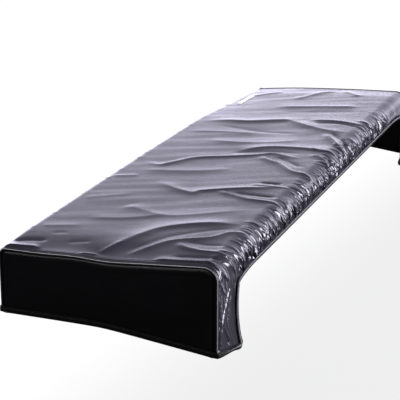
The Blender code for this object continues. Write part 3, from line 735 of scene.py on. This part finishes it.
def endPoint(end, column, row):
    # column and row as shares, 0 to 1: from the front side to the rear side, and up
    line, normal, rows = endOutline(end)
    line = line - endPanel["inset"] * normal

    def at(where):
        return between(where, rows, line)

    frontLow, rearLow = at(0.0), at(float(lastRow))
    crest = at(mix(float(frontSideRow), float(rearSideRow), column))
    across = (crest[:, 1] - frontLow[1]) / (rearLow[1] - frontLow[1])
    lowShare = np.where((across > 0) & (across < 1), rearShare(halfWidth - crest[:, 1]), across)
    low = mix(frontLow[2], rearLow[2], lowShare)
    sideRow = row * frontSideRow
    frontUp = (at(sideRow)[:, 2] - frontLow[2]) / (at(float(frontSideRow))[2] - frontLow[2])
    rearUp = at(lastRow - row * (lastRow - rearSideRow))[:, 2] - rearLow[2]
    rearUp = rearUp / (at(float(rearSideRow))[2] - rearLow[2])
    up = mix(frontUp, rearUp, across)
    y, z = crest[:, 1], mix(low, crest[:, 2], up)
    rim = line[:, 1:]
    far = np.full(len(y), 1e9)
    for start, stop in zip(rim, rim[1:]):
        run = stop - start
        share = np.clip(((y - start[0]) * run[0] + (z - start[1]) * run[1]) / max(run @ run, 1e-12), 0, 1)
        far = np.minimum(far, np.hypot(y - start[0] - share * run[0], z - start[1] - share * run[1]))
    bulge = np.maximum(np.sin(np.pi * np.clip(across, 0, 1)) * np.sin(np.pi * up), 0)
    bulge = bulge ** endPanel["bulgeCurve"]
    out = endPanel["bulge"] * bulge * (1 + endPanel["bulgeUneven"] * np.sin(7 * across + 1.3))
    out = out - endPanel["seamDip"] * np.exp(-(far / endPanel["seamDipReach"]) ** 2)
    fromRidge = (far - endPanel["seamRidgeAt"]) / endPanel["seamRidgeWidth"]
    out = out + endPanel["seamRidge"] * np.exp(-fromRidge ** 2)
    inner = smooth(far / endPanel["dentsFrom"]) * smooth(up / endPanel["dentsAbove"])

    def dents(rates, index):
        return noise.noise((rates[0] * y[index], rates[1] * z[index], rates[2] + end))

    for index in range(len(y)):
        small = endPanel["smallDent"] * dents(endPanel["smallDents"], index)
        out[index] += inner[index] * endPanel["dent"] * (dents(endPanel["broadDents"], index) + small)
    x = end * (halfLength + endPanel["gap"] + out)
    return np.stack([x, y, z], -1), np.stack([halfWidth - y, z], -1)


def makeEndPanel(name, end):
    bm = gridMesh(endPanel["columns"], endPanel["rows"])
    piece = newPiece(name, bm)
    columns, rows = cellsOf(piece)
    place, flat = endPoint(end, columns / endPanel["columns"], rows / endPanel["rows"])
    placeGrid(piece, place, flat)
    faceOut(piece)
    thicken(piece, endPanel["thickness"])
    return piece


endPanels = {"near": makeEndPanel("end_cloth_near", 1), "far": makeEndPanel("end_cloth_far", -1)}
print("end panels")


# Sweeps: a section carried along a line, with the line's outward and downward directions

def sweep(name, line, outward, downward, section, closedLine):
    count = len(line) if closedLine else len(line) - 1
    bm = gridMesh(count, len(section))
    piece = newPiece(name, bm)
    columns, rows = cellsOf(piece)
    station = np.rint(columns).astype(int) % len(line)
    corner = np.rint(rows).astype(int) % len(section)
    section = np.array(section)
    place = line[station] + section[corner, :1] * outward[station] + section[corner, 1:] * downward[station]
    lengths, around = runOf(closing(line)), runOf(closing(section))
    flat = np.stack([lengths[np.rint(columns).astype(int)], around[np.rint(rows).astype(int)]], -1)
    placeGrid(piece, place, flat)
    bm = bmesh.new()
    bm.from_mesh(piece.data)
    bmesh.ops.remove_doubles(bm, verts=bm.verts, dist=1e-6)
    ends = [edge for edge in bm.edges if edge.is_boundary]
    if ends:
        bmesh.ops.holes_fill(bm, edges=ends)
    bmesh.ops.recalc_face_normals(bm, faces=bm.faces)
    bm.to_mesh(piece.data)
    bm.free()
    piece.data.shade_smooth()
    return piece


piping = {"radius": 0.0028, "sink": 0.0006, "gap": 0.0002, "sides": 14, "pitch": 0.003}


def makePiping(name, end):
    line, normal, rows = endOutline(end)
    beside = np.array((end * (piping["radius"] + piping["gap"]), 0, 0))
    centre = line - piping["sink"] * normal + beside
    # Evened out to one point at each pitch
    run = runOf(centre)
    centre = between(np.linspace(0, run[-1], int(run[-1] / piping["pitch"])), run, centre)
    tangent = np.gradient(centre, axis=0)
    tangent /= np.linalg.norm(tangent, axis=1, keepdims=True)
    sideways = np.tile(np.array((1.0, 0, 0)), (len(centre), 1))
    up = np.cross(tangent, sideways)
    turns = np.arange(piping["sides"]) / piping["sides"] * 2 * math.pi
    section = [(piping["radius"] * math.cos(turn), piping["radius"] * math.sin(turn)) for turn in turns]
    return sweep(name, centre, sideways, up, section, False)


pipings = {"near": makePiping("end_cord_near", 1), "far": makePiping("end_cord_far", -1)}
print("piping")


# Hem tape

# skipNear and skipFar are columns left out at the corners, where the tape turns
tape = {"proud": 0.0014, "prouderOnTabs": 0.0012, "lap": 0.0022, "width": 0.0100, "thickness": 0.0052,
        "pitch": 0.003, "softCorner": 0.007, "skipNear": 8, "skipFar": 2, "endFrom": 0.02, "endPlaces": 120}


def skirtEdge(side):
    # The main cloth's lower edge on a long side, from the near end to the far end
    low = float(lastRow) if side > 0 else 0.0
    hem = float(rearHemRow) if side > 0 else float(frontHemRow)
    middle, far = float(middleColumn), float(farColumn)
    climb = np.linspace(low, hem, rowCounts["tab"], endpoint=False)
    nearTab, long = np.arange(float(tape["skipNear"]), middle), np.arange(middle, far)
    farTab = np.arange(far, lastColumn - tape["skipFar"])
    columns = [nearTab, np.full(len(climb), middle), long, np.full(len(climb), far), farTab]
    rows = [np.full(len(nearTab), low), climb, np.full(len(long), hem), climb[::-1],
            np.full(len(farTab), low)]
    return clothPoint(np.concatenate(columns), np.concatenate(rows))[:2]


def endEdge(end):
    # An end panel's lower edge from the front to the rear, with the cover's two corners
    share = np.linspace(tape["endFrom"], 1 - tape["endFrom"], tape["endPlaces"])
    place = endPoint(end, share, np.zeros(len(share)))[0]
    outline = endOutline(end)[0]
    x = end * (halfLength + endPanel["gap"])
    corners = [np.array((x, outline[index, 1], outline[index, 2])) for index in (0, -1)]
    line = np.concatenate([[corners[0]], place, [corners[1]]])
    outward = np.tile(np.array((float(end), 0.0, 0.0)), (len(line), 1))
    outward[0] = np.array((end, -1.0, 0.0)) / math.sqrt(2)
    outward[-1] = np.array((end, 1.0, 0.0)) / math.sqrt(2)
    return line, outward


def loopSmooth(values, reach):
    # Averages directions round a closed line over a few stations each way
    kernel = np.exp(-np.linspace(-2, 2, 2 * reach + 1) ** 2)
    kernel /= kernel.sum()
    total = np.zeros_like(values)
    for offset, weight in zip(range(-reach, reach + 1), kernel):
        total += weight * np.roll(values, offset, axis=0)
    return total


def hemLine():
    near, rear, far, front = endEdge(1), skirtEdge(1), endEdge(-1), skirtEdge(-1)
    line = np.concatenate([near[0], rear[0], far[0][::-1], front[0][::-1]])
    outward = np.concatenate([near[1], rear[1], far[1][::-1], front[1][::-1]])
    run = runOf(closing(line))
    count = int(run[-1] / tape["pitch"])
    even = np.arange(count) * (run[-1] / count)
    line, outward = (between(even, run, closing(values)) for values in (line, outward))
    reach = round(tape["softCorner"] / tape["pitch"])
    line = loopSmooth(line, 1)
    outward = loopSmooth(outward, 1)
    outward /= np.linalg.norm(outward, axis=1, keepdims=True)
    run = np.roll(line, -1, axis=0) - np.roll(line, 1, axis=0)
    run /= np.linalg.norm(run, axis=1, keepdims=True)
    down = loopSmooth(np.cross(run, outward), reach)
    down /= np.linalg.norm(down, axis=1, keepdims=True)
    return line, outward, down


def makeTape():
    line, outward, down = hemLine()
    # The section as places outward and down: over the outer face, round the low edge and up the inside
    p, lap, w, t = tape["proud"], tape["lap"], tape["width"], tape["thickness"]
    section = [(p, -lap), (p + 0.0003, -lap / 2), (p + 0.0001, 0.0), (p + 0.0006, 0.25 * w),
               (p + 0.0007, 0.6 * w), (p + 0.0002, 0.88 * w), (p - 0.0014, w), (p - 0.5 * t, 1.03 * w),
               (p - t + 0.0010, w), (p - t - 0.0004, 0.88 * w), (p - t - 0.0006, 0.5 * w),
               (p - t - 0.0002, 0.0), (p - t, -lap), (p - t + 0.0006, -lap), (p - t + 0.0006, 0.0006),
               (p - 0.0006, 0.0006), (p - 0.0006, -lap)]
    prouder = tape["prouderOnTabs"] * smooth(np.abs(down[:, :1]) * np.abs(outward[:, 1:2]))
    piece = sweep("hem_tape", line + prouder * outward, outward, down, section, True)
    return piece, (line, outward, down)


hemTape, hemRoute = makeTape()
print("hem tape", len(hemTape.data.polygons))


# White strip near the far front corner

strip = {"start": 1.140, "length": 0.124, "front": 0.3775, "width": 0.0105, "columns": 62, "rows": 6,
         "thickness": 0.0007, "lift": 0.0010, "middleLift": 0.0005, "rimCells": 1.5,
         "wave": 0.0002, "waveRate": 70}


def onTop(along, across):
    # Cloth places given by along and across on the top
    column = np.interp(along, alongKnots, columnKnots)
    frontY = frontWall(along) - cover["frontRadius"]
    share = (halfWidth - across + frontY) / (halfWidth - cover["rearRadius"] + frontY)
    return clothPoint(column, topStartRow + share * rowCounts["top"])


def makeStrip():
    bm = gridMesh(strip["columns"], strip["rows"])
    piece = newPiece("white_strip", bm)
    columns, rows = cellsOf(piece)
    along = strip["start"] + strip["length"] * columns / strip["columns"]
    across = strip["front"] - strip["width"] * rows / strip["rows"]
    place, normal = onTop(along, across)[:2]
    rim = np.minimum.reduce([columns, strip["columns"] - columns, rows, strip["rows"] - rows])
    lift = strip["lift"] + strip["middleLift"] * smooth(rim / strip["rimCells"])
    lift = lift + strip["wave"] * np.sin(strip["waveRate"] * along)
    placeGrid(piece, place + lift[:, None] * normal, np.stack([along, across], -1))
    faceOut(piece)
    thicken(piece, strip["thickness"])
    return piece


whiteStrip = makeStrip()
print("white strip")


# Stitches

stitch = {"length": 0.0030, "radius": 0.00035, "look": 0.001,
          "tapePitch": 0.0042, "tapeAbove": 0.0003, "tapeDown": 0.0012,
          "stripPitch": 0.0036, "stripAbove": 0.0006, "stripInset": 0.0015, "stripPlaces": 20}


def makeStitches(name, line, normal, pitch):
    # One short thread, as a stretched ball of a few faces, at each stitch along a line
    run = runOf(line)
    bm = bmesh.new()
    for centre in np.arange(pitch / 2, run[-1], pitch):
        here, up = Vector(between(centre, run, line)), Vector(between(centre, run, normal))
        ends = between([centre - stitch["look"], centre + stitch["look"]], run, line)
        forward = Vector(ends[1] - ends[0]).normalized()
        sideways = up.cross(forward).normalized()
        up = forward.cross(sideways)
        turn = Matrix((forward, sideways, up)).transposed().to_4x4()
        size = Matrix.Diagonal((stitch["length"] / 2, stitch["radius"], stitch["radius"], 1))
        placed = Matrix.Translation(here) @ turn @ size
        bmesh.ops.create_icosphere(bm, subdivisions=1, radius=1.0, matrix=placed)
    return newPiece(name, bm)


def tapeStitches():
    line, outward, down = hemRoute
    place = line + (tape["proud"] + stitch["tapeAbove"]) * outward + stitch["tapeDown"] * down
    return makeStitches("tape_stitches", closing(place), closing(outward), stitch["tapePitch"])


def stripStitches():
    inset = stitch["stripInset"]
    long, short = strip["length"] - 2 * inset, strip["width"] - 2 * inset
    corners = np.array(((0, 0), (long, 0), (long, short), (0, short), (0, 0)))
    side = np.linspace(0, 1, stitch["stripPlaces"], endpoint=False)
    shares = np.concatenate([side + index for index in range(4)] + [[4]])
    along = strip["start"] + inset + np.interp(shares, range(5), corners[:, 0])
    across = strip["front"] - inset - np.interp(shares, range(5), corners[:, 1])
    place, normal = onTop(along, across)[:2]
    place = place + (strip["lift"] + stitch["stripAbove"]) * normal
    return makeStitches("strip_stitches", place, normal, stitch["stripPitch"])


stitches = {"tape": tapeStitches(), "strip": stripStitches()}
print("stitches")


# Shader maths: an expression on values adds its Math nodes

class Wire:
    def __init__(self, finish, socket):
        self.finish = finish
        self.socket = socket

    def step(self, operation, first, second):
        return self.finish.add("ShaderNodeMath", {"operation": operation}, {0: first, 1: second})

    def __add__(self, other):
        return self.step("ADD", self, other)

    def __radd__(self, other):
        return self.step("ADD", other, self)

    def __sub__(self, other):
        return self.step("SUBTRACT", self, other)

    def __rsub__(self, other):
        return self.step("SUBTRACT", other, self)

    def __mul__(self, other):
        return self.step("MULTIPLY", self, other)

    def __rmul__(self, other):
        return self.step("MULTIPLY", other, self)

    def __abs__(self):
        return self.step("ABSOLUTE", self, 0.0)

    def atLeast(self, other):
        return self.step("MAXIMUM", self, other)


waveScale = 0.31  # at this scale a wave texture has one wave in each unit


class Finish:
    # One material: add makes any node, and the named values of its shader are set at the start
    def __init__(self, name, **values):
        self.material = bpy.data.materials.new(name)
        self.material.use_nodes = True
        self.tree = self.material.node_tree
        self.shader = self.tree.nodes["Principled BSDF"]
        for socket, value in values.items():
            self.shader.inputs[socket.replace("_", " ")].default_value = value

    def add(self, kind, settings=None, sockets=None, out=0):
        node = self.tree.nodes.new(kind)
        for name, value in (settings or {}).items():
            if name == "stops":
                for index, (position, colour) in enumerate(value):
                    while len(node.color_ramp.elements) <= index:
                        node.color_ramp.elements.new(position)
                    node.color_ramp.elements[index].position = position
                    node.color_ramp.elements[index].color = (*colour, 1)
            else:
                setattr(node, name, value)
        for name, value in (sockets or {}).items():
            self.join(node.inputs[name], value)
        return Wire(self, node.outputs[out])

    def join(self, socket, value):
        if isinstance(value, Wire):
            self.tree.links.new(value.socket, socket)
        else:
            socket.default_value = value

    def feed(self, name, value):
        self.join(self.shader.inputs[name], value)

    def flat(self, *scale):
        # The cloth's own UV map, in metres of flat cloth, scaled by one number or by three
        scale = scale if len(scale) == 3 else scale * 3
        uv = self.add("ShaderNodeUVMap", {"uv_map": "flat"})
        return self.add("ShaderNodeMapping", {}, {"Vector": uv, "Scale": scale})

    def part(self, vector, index):
        # One coordinate of a vector
        return self.add("ShaderNodeSeparateXYZ", {}, {"Vector": vector}, index)

    def leaning(self, lean, scale):
        # The same map with its lines across leaning, scaled
        flat = self.flat(1)
        along, across = self.part(flat, 0), self.part(flat, 1)
        joined = self.add("ShaderNodeCombineXYZ", {}, {"X": along + lean * across, "Y": across})
        return self.add("ShaderNodeMapping", {}, {"Vector": joined, "Scale": scale})

    def fade(self, value, low, high, atLow, atHigh, kind="SMOOTHSTEP"):
        sockets = {"Value": value, "From Min": low, "From Max": high, "To Min": atLow, "To Max": atHigh}
        return self.add("ShaderNodeMapRange", {"interpolation_type": kind}, sockets)

    def paintedHighlightAt(self, around, narrow, wide):
        # A soft pale line painted along a swept piece, at a place round its section, as a painted highlight
        return self.fade(abs(self.part(self.flat(1), 1) - around), narrow, wide, 1.0, 0.0)

    def noise(self, place, detail=2.0, roughness=0.5, scale=1.0, distortion=0.0):
        sockets = {"Vector": place, "Scale": scale, "Detail": detail, "Roughness": roughness}
        return self.add("ShaderNodeTexNoise", {}, {**sockets, "Distortion": distortion})

    def waves(self, way, place, scale, distortion, detail):
        # One wave in each unit of scaled place
        sockets = {"Vector": place, "Scale": waveScale * scale, "Distortion": distortion, "Detail": detail}
        return self.add("ShaderNodeTexWave", {"bands_direction": way, "wave_profile": "SIN"}, sockets)

    def weave(self, pitch):
        # Crossed threads, as a height
        threads = self.flat(1 / pitch)
        return self.waves("X", threads, 1.0, 0.4, 1.0) * self.waves("Y", threads, 1.0, 0.4, 1.0)

    def bump(self, height, distance, strength=1.0, normal=None):
        sockets = {"Height": height, "Distance": distance, "Strength": strength}
        if normal:
            sockets["Normal"] = normal
        return self.add("ShaderNodeBump", {}, sockets)

    def colours(self, share, dark, light):
        ends = [value if isinstance(value, Wire) else (*value, 1) for value in (dark, light)]
        return self.add("ShaderNodeMix", {"data_type": "RGBA"}, {0: share, 6: ends[0], 7: ends[1]}, 2)


def nylonFinish():
    finish = Finish("glossy_nylon", Specular_IOR_Level=0.5, IOR=1.5, Specular_Tint=(0.94, 0.92, 1.0, 1))
    gathered = finish.add("ShaderNodeAttribute", {"attribute_name": "gathered"}, out=2)
    cloud = finish.noise(finish.flat(14), 3.0)
    lines = finish.noise(finish.flat(60, 20, 20), 2.0, 0.5)
    crinkle = finish.noise(finish.flat(240, 120, 120), 4.0, 0.6, 1.0, 0.6)
    finish.feed("Base Color", finish.colours(cloud, (0.0055, 0.0053, 0.0080), (0.0085, 0.0081, 0.0120)))
    finish.feed("Roughness", 0.20 + 0.07 * cloud)
    normal = finish.bump(finish.weave(0.0007), 0.00004, 0.5)
    normal = finish.bump(lines, 0.0003, 0.12, normal)
    normal = finish.bump(crinkle * 0.018, 0.0014, 0.6, normal)
    creases = finish.noise(finish.leaning(0.35, (72, 11, 20)), 0.4, 0.5, 1.0, 0.35)
    finish.feed("Normal", finish.bump(abs(creases - 0.5) * gathered, 0.018, 1.0, normal))
    return finish.material


def endFinish():
    finish = Finish("dull_black_cloth", Specular_IOR_Level=0.18)
    cloud = finish.noise(finish.flat(18), 3.0)
    finish.feed("Base Color", finish.colours(cloud, (0.0006, 0.0006, 0.0007), (0.0014, 0.0014, 0.0015)))
    finish.feed("Roughness", 0.24 + 0.08 * cloud)
    normal = finish.bump(finish.weave(0.0009), 0.0001, 0.7)
    finish.feed("Normal", finish.bump(finish.noise(finish.flat(60, 90, 60), 3.0), 0.0010, 0.35, normal))
    return finish.material


def cordFinish(name, highlightAround):
    # A satin cord with a painted highlight: its colour is palest along one line
    finish = Finish(name, Specular_IOR_Level=0.35)
    cloud = finish.noise(finish.flat(120), 2.0)
    line = finish.paintedHighlightAt(highlightAround, 0.0001, 0.0007)
    dark = finish.colours(cloud, (0.0015, 0.0015, 0.002), (0.003, 0.003, 0.004))
    # The pale colour along the line is a painted highlight, not the cord's own colour
    finish.feed("Base Color", finish.colours(line * (0.6 + 0.4 * cloud), dark, (0.38, 0.38, 0.41)))
    finish.feed("Roughness", 0.26 + 0.12 * cloud)
    finish.feed("Normal", finish.bump(finish.weave(0.0007), 0.00006, 0.6))
    return finish.material


def tapeFinish():
    # A ribbed tape with a pale line painted along it as a highlight, only between the tabs
    finish = Finish("ribbed_tape", Specular_IOR_Level=0.09, Roughness=0.5)
    ribs = finish.waves("X", finish.flat(1), 1 / 0.0012, 0.2, 2.0)
    fuzz = finish.noise(finish.flat(400), 2.0)
    dark = finish.colours(ribs * 0.6 + fuzz * 0.4, (0.0008, 0.0008, 0.001), (0.003, 0.003, 0.0035))
    line = finish.paintedHighlightAt(0.0052, 0.0003, 0.0010)
    fromMiddle = abs(finish.part(finish.add("ShaderNodeTexCoord", {}, {}, 3), 0))
    inMiddle = finish.fade(fromMiddle, 0.60, 0.66, 1.0, 0.0, "LINEAR")
    # The pale colour of the line is a painted highlight on the black tape
    finish.feed("Base Color", finish.colours(line * inMiddle * (0.4 + 0.6 * fuzz), dark, (0.24, 0.24, 0.28)))
    finish.feed("Roughness", 0.44 + 0.14 * fuzz)
    finish.feed("Normal", finish.bump(ribs, 0.00022, 0.8))
    return finish.material


def stripFinish():
    finish = Finish("white_strip_cloth", Specular_IOR_Level=0.4, Roughness=0.5)
    cloud = finish.noise(finish.flat(200), 2.0)
    finish.feed("Base Color", finish.colours(cloud, (0.80, 0.80, 0.82), (0.92, 0.92, 0.93)))
    finish.feed("Roughness", 0.42 + 0.12 * cloud)
    finish.feed("Normal", finish.bump(finish.weave(0.0006), 0.00008, 0.7))
    return finish.material


def threadFinish(name, dark, light):
    finish = Finish(name, Specular_IOR_Level=0.4, Roughness=0.45)
    place = finish.add("ShaderNodeTexCoord", {}, {}, 3)
    cloud = finish.noise(place, 2.0, 0.5, 900.0)
    finish.feed("Base Color", finish.colours(cloud, dark, light))
    finish.feed("Normal", finish.bump(cloud, 0.0001, 0.5))
    return finish.material


nylon, dullBlack, ribbed, stripWhite = nylonFinish(), endFinish(), tapeFinish(), stripFinish()
cordGirth = 2 * math.pi * piping["radius"]
# Where round each cord's section its painted highlight lies
cordBlack = {"near": cordFinish("black_cord_near", 0.915 * cordGirth),
             "far": cordFinish("black_cord_far", 0.585 * cordGirth)}
darkThread = threadFinish("dark_thread", (0.012, 0.012, 0.014), (0.05, 0.05, 0.056))
paleThread = threadFinish("pale_thread", (0.55, 0.55, 0.57), (0.8, 0.8, 0.82))


def finishPiece(piece, material, slot, *nodes):
    piece.data.materials.clear()
    piece.data.materials.append(material)
    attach(piece, "root")
    if nodes:
        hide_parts(*nodes)


finishPiece(mainCloth, nylon, "main_cloth", "main_panel")
for place in ("near", "far"):
    finishPiece(endPanels[place], dullBlack, "end_cloth", f"end_panel_{place}")
    finishPiece(pipings[place], cordBlack[place], "piping_cloth", f"piping_{place}")
finishPiece(hemTape, ribbed, "tape", "hem_binding")
finishPiece(whiteStrip, stripWhite, "label_cloth", "label")
finishPiece(stitches["tape"], darkThread, "tape")
finishPiece(stitches["strip"], paleThread, "label_cloth")

print("finishes")


# Floor, light and camera

# The floor's glow has painted shade: it darkens along a line that leans by slant, between shadeFrom and
# shadeTo
studio = {"floor": -0.78, "floorSize": 60.0, "slant": 0.12, "shadeFrom": -0.9, "shadeTo": -0.2,
          "farShade": (1.02, 1.02, 1.02), "nearShade": (0.84, 0.84, 0.845)}


def makeFloor():
    bm = bmesh.new()
    bmesh.ops.create_grid(bm, x_segments=1, y_segments=1, size=studio["floorSize"] / 2)
    bmesh.ops.translate(bm, verts=bm.verts, vec=(0, 0, studio["floor"]))
    floor = newPiece("studio_floor", bm)
    finish = Finish("pale_floor", Roughness=0.9, Specular_IOR_Level=0.0, Emission_Strength=1.0)
    finish.shader.inputs["Base Color"].default_value = (0.01, 0.01, 0.01, 1)
    place = finish.add("ShaderNodeTexCoord", {}, {}, 3)
    slanted = studio["slant"] * finish.part(place, 0) + finish.part(place, 1)
    shade = finish.fade(slanted, studio["shadeFrom"], studio["shadeTo"], 0.0, 1.0)
    # Painted shade: the glow is darker towards nearShade
    finish.feed("Emission Color", finish.colours(shade, studio["farShade"], studio["nearShade"]))
    floor.data.materials.append(finish.material)
    floor.visible_glossy = False


makeFloor()

# What the cloth mirrors, by direction: a bright low band behind the far end, dim above, below and
# beside it. bands holds the height of a direction, -1 to 1, and the glow there.
surroundings = {
    "strength": 3.4, "tint": (0.915, 0.885, 1.08),
    "bands": [(-1.0, 0.12), (-0.75, 0.25), (-0.55, 0.50), (-0.30, 0.85), (-0.10, 1.0), (0.05, 1.0),
              (0.13, 0.52), (0.18, 0.42), (0.25, 0.38), (0.28, 0.33), (0.37, 0.20), (0.50, 0.14),
              (1.0, 0.10)],
    "sideFrom": -0.34, "sideTilt": 0.08,
    "besideSlant": -0.6, "besideFrom": 0.18, "besideTo": 0.42, "besideShare": 0.08,
    "behindSlant": -0.6, "behindFrom": -0.55, "behindTo": 0.35, "behindShare": 0.04,
}


class WorldFinish(Finish):
    def __init__(self, owner):
        self.tree = owner.node_tree


def makeWorld():
    world = bpy.data.worlds.new("studio")
    bpy.context.scene.world = world
    world.use_nodes = True
    air = WorldFinish(world)
    direction = air.add("ShaderNodeTexCoord", {}, {}, 0)
    alongSky, acrossSky, upSky = (air.part(direction, index) for index in range(3))
    stops = [((height + 1) / 2, (share,) * 3) for height, share in surroundings["bands"]]
    pastSide = (acrossSky - surroundings["sideFrom"]).atLeast(0.0)
    height = upSky - surroundings["sideTilt"] * pastSide
    glow = air.add("ShaderNodeValToRGB", {"stops": stops}, {0: 0.5 * height + 0.5})

    def dimmed(name, sky):
        # The glow falls to a share of itself past a slanting line
        slanted = sky + surroundings[name + "Slant"] * upSky
        return air.fade(slanted, surroundings[name + "From"], surroundings[name + "To"],
                        1.0, surroundings[name + "Share"])

    beside, behind = dimmed("beside", acrossSky), dimmed("behind", alongSky)
    background = world.node_tree.nodes["Background"]
    air.join(background.inputs["Strength"], glow * beside * behind * surroundings["strength"])
    background.inputs["Color"].default_value = (*surroundings["tint"], 1)


makeWorld()


def areaLight(name, place, target, size, power, colour=(1, 1, 1), glossy=True):
    light = bpy.data.lights.new(name, "AREA")
    light.shape = "RECTANGLE"
    light.size, light.size_y = size
    light.energy = power
    light.color = colour
    lamp = bpy.data.objects.new(name, light)
    bpy.context.scene.collection.objects.link(lamp)
    lamp.location = place
    lamp.rotation_mode = "QUATERNION"
    lamp.rotation_quaternion = (Vector(target) - Vector(place)).to_track_quat("-Z", "Y")
    lamp.visible_glossy = glossy
    lamp.visible_camera = False


areaLight("overhead_fill", (0.0, 0.0, 5.0), (0, 0, 0), (7, 7), 450, glossy=False)
areaLight("side_wall", (-0.45, 3.0, 0.70), (0.2, 0.2, 0.0), (1.2, 3.0), 340, (0.93, 0.93, 1.0))
areaLight("near_strip", (2.9, -1.0, 1.6), (0.69, 0.0, 0.0), (1.8, 0.45), 40)

camera = {"place": (2.6867, 0.9475, 0.8109), "pitch": math.radians(17.68), "yaw": math.radians(21.13),
          "lens": 124.74, "sensor": 36.0}
cameraData = bpy.data.cameras.new("camera")
cameraData.lens = camera["lens"]
cameraData.sensor_width = camera["sensor"]
cameraData.clip_end = 200
cameraPiece = bpy.data.objects.new("camera", cameraData)
bpy.context.scene.collection.objects.link(cameraPiece)
look = Vector((-math.cos(camera["yaw"]) * math.cos(camera["pitch"]),
               -math.sin(camera["yaw"]) * math.cos(camera["pitch"]), -math.sin(camera["pitch"])))
cameraPiece.location = camera["place"]
cameraPiece.rotation_mode = "QUATERNION"
cameraPiece.rotation_quaternion = look.to_track_quat("-Z", "Y")
bpy.context.scene.camera = cameraPiece
bpy.context.scene.view_settings.view_transform = "Standard"

print("ready")
